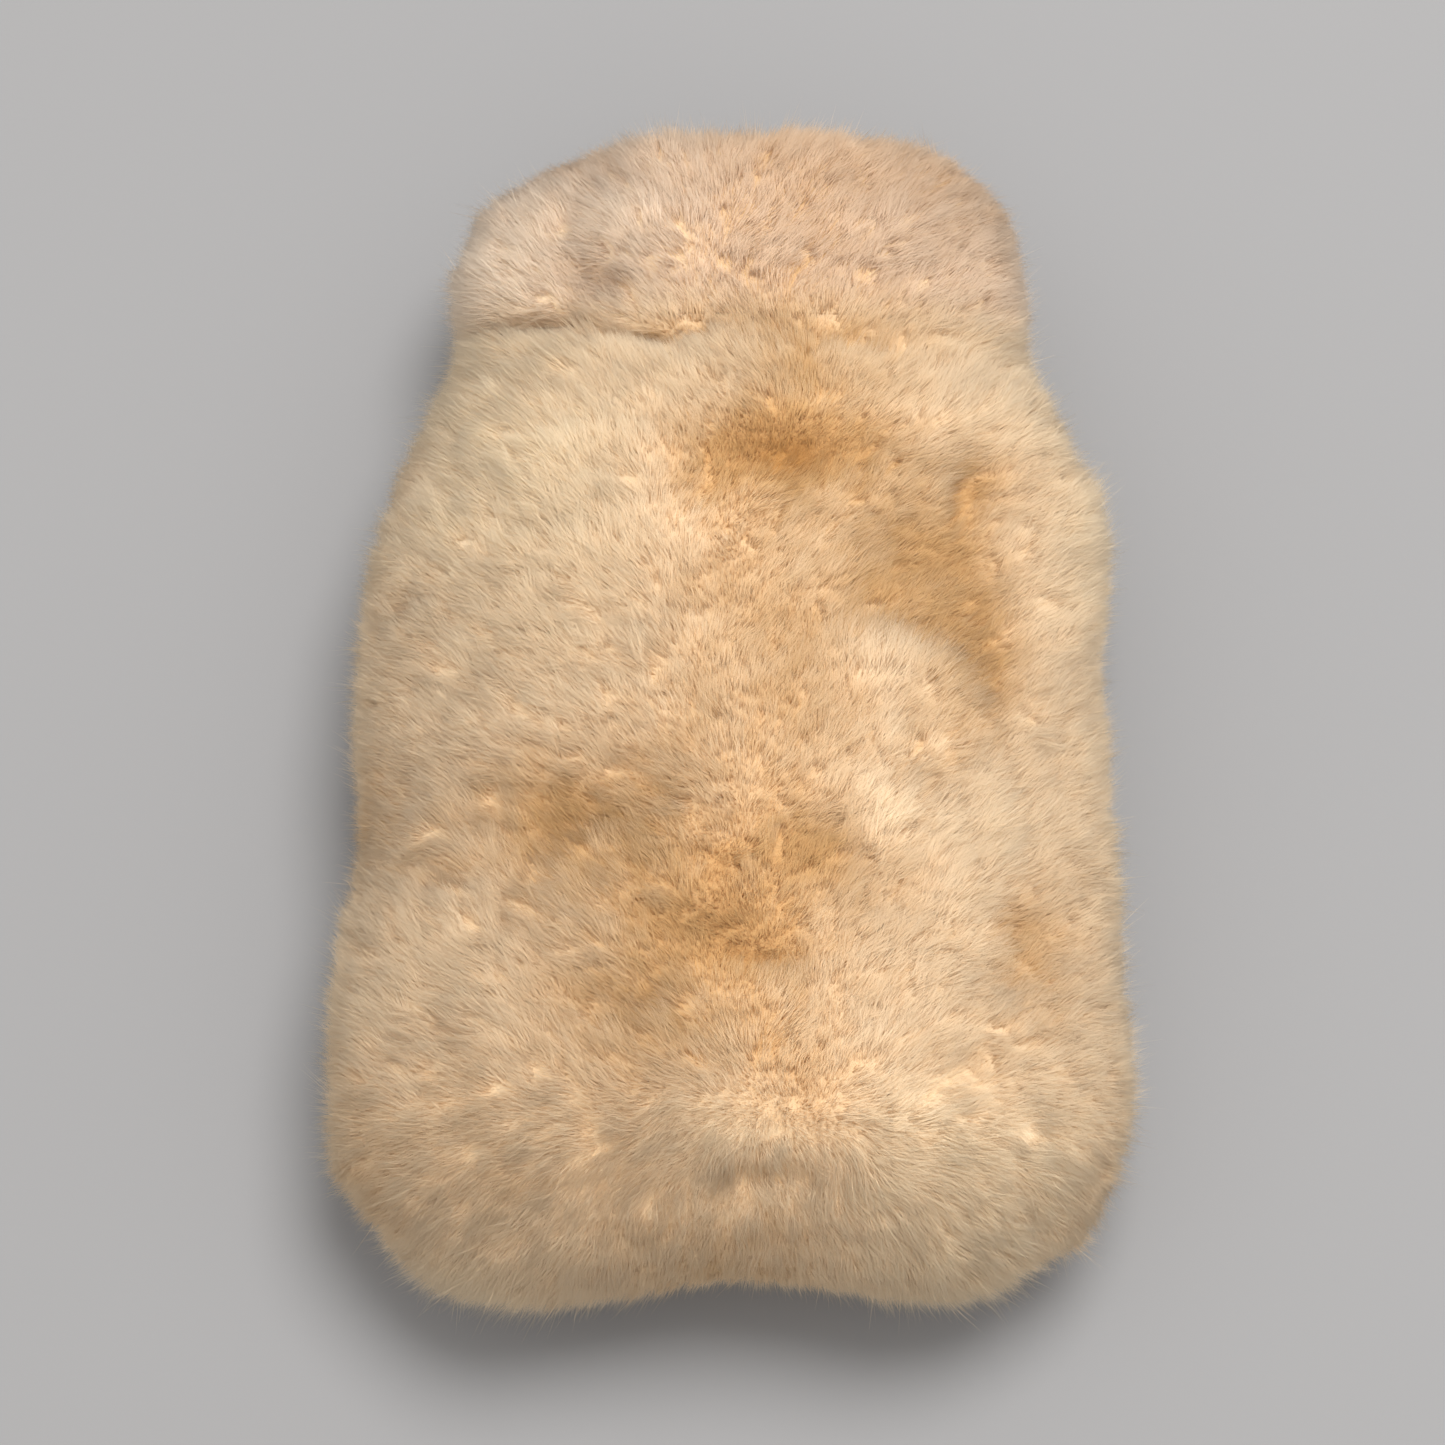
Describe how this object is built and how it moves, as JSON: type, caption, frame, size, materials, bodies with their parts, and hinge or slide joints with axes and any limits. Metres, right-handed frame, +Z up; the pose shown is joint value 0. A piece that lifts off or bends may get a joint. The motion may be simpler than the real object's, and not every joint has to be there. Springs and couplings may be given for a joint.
{
  "type": "wash mitt",
  "caption": "Sheepskin wash mitt lying flat: a deep-pile bag for the hand with rounded corners, a drawn-in wrist and a pile cuff that folds",
  "frame": {"origin": "on the table, under the middle of the mitt's outline", "axes": "+Z up from the table, +Y from the closed end towards the cuff's mouth, +X across to the right"},
  "size_m": [0.1848, 0.29, 0.064],
  "materials": {
    "wool": "matte",
    "skin": "matte",
    "lining": "matte",
    "knit": "matte",
    "tape": "matte",
    "thread": "satin",
    "elastic": "matte",
    "label": "satin"
  },
  "bodies": {
    "hand_part": {"front_pile": "wool", "back_pile": "wool", "front_skin": "skin", "back_skin": "skin", "front_lining": "lining", "back_lining": "lining", "seam_tape": "tape", "seam_thread": "thread", "wrist_elastic": "elastic", "wrist_thread": "thread"},
    "cuff": {"cuff_front_pile": "wool", "cuff_back_pile": "wool", "cuff_front_skin": "skin", "cuff_back_skin": "skin", "cuff_facing": "knit", "cuff_seam_left": "tape", "cuff_seam_right": "tape", "mouth_thread": "thread"},
    "label": {"care_label": "label"}
  },
  "joints": [
    {"name": "cuff_fold", "type": "hinge", "parent": "hand_part", "child": "cuff", "pos_m": [0, 0.087, 0.031], "axis": [1, 0, 0], "range_deg": [-20, 20], "stiffness_Nm_per_rad": 0.4},
    {"name": "label_flap", "type": "hinge", "parent": "cuff", "child": "label", "pos_m": [0, 0.119, 0.0233], "axis": [-1, 0, 0], "range_deg": [0, 55]}
  ]
}
